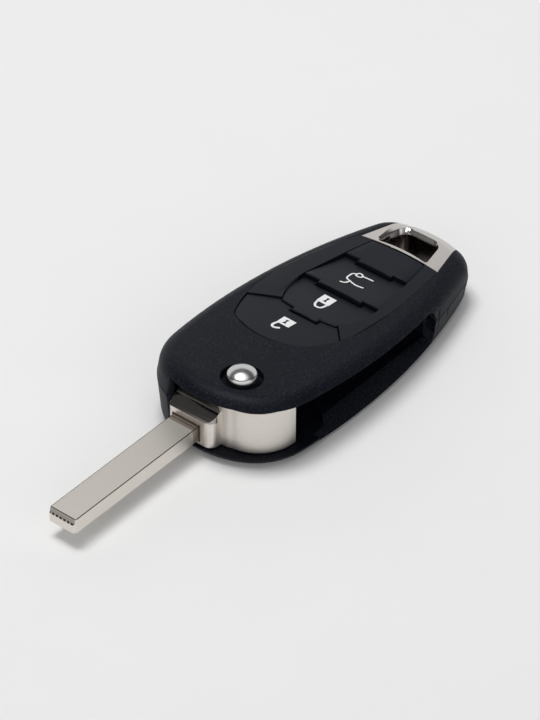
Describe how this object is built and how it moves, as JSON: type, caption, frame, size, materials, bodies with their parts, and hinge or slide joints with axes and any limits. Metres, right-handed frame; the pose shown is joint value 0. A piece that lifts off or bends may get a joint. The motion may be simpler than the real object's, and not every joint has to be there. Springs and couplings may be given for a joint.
{
  "type": "flip key fob shell",
  "caption": "Flip key fob shell with swing-out blank blade, release button, sloping press keys and a metal key ring loop.",
  "frame": {"origin": "middle of the case outline on the flat back face", "axes": "+X from the blade tip to the key ring loop, +Y to the side away from the blade slot, +Z out of the button side"},
  "size_m": [0.1185, 0.0389, 0.0186],
  "materials": {
    "case_plastic": "black moulded plastic with a fine sparkling grain",
    "key_plastic": "smooth satin blue-grey black plastic",
    "tray_plastic": "plain black plastic",
    "membrane_rubber": "dark grey silicone rubber",
    "satin_nickel": "satin nickel plated die casting",
    "blade_nickel": "nickel plated brass blank",
    "pin_steel": "plain steel",
    "button_chrome": "polished chrome"
  },
  "bodies": {
    "case": {"lower_cover": "case_plastic", "upper_cover": "case_plastic", "key_ring_loop": "satin_nickel", "button_bezel": "key_plastic", "blank_cap": "key_plastic", "keypad_membrane": "membrane_rubber", "board_tray": "tray_plastic", "spring_cup": "tray_plastic", "flip_spring": "pin_steel"},
    "blade_unit": {"blade_holder": "satin_nickel", "key_blade": "blade_nickel", "blade_roll_pin": "pin_steel"},
    "release_unit": {"release_button": "button_chrome", "lock_cog": "pin_steel"},
    "unlock_key": {"unlock_button": "key_plastic"},
    "lock_key": {"lock_button": "key_plastic"},
    "boot_key": {"boot_button": "key_plastic"}
  },
  "joints": [
    {"name": "blade_flip", "type": "hinge", "parent": "case", "child": "blade_unit", "pos_m": [-0.0304, -0.0044, 0.008], "axis": [0, 0, 1], "range_deg": [0, 180], "stiffness_Nm_per_rad": 0.02, "springref_deg": -28.65},
    {"name": "release_press", "type": "slide", "parent": "case", "child": "release_unit", "axis": [0, 0, -1], "range_m": [0, 0.0016], "stiffness_N_per_m": 2500, "springref_m": -0.002, "deforming": ["flip_spring"]},
    {"name": "unlock_press", "type": "slide", "parent": "case", "child": "unlock_key", "axis": [-0.0718, 0, -0.9974], "range_m": [0, 0.0005], "stiffness_N_per_m": 3000, "springref_m": -0.0005},
    {"name": "lock_press", "type": "slide", "parent": "case", "child": "lock_key", "axis": [-0.0718, 0, -0.9974], "range_m": [0, 0.0005], "stiffness_N_per_m": 3000, "springref_m": -0.0005},
    {"name": "boot_press", "type": "slide", "parent": "case", "child": "boot_key", "axis": [-0.0718, 0, -0.9974], "range_m": [0, 0.0005], "stiffness_N_per_m": 3000, "springref_m": -0.0005}
  ]
}
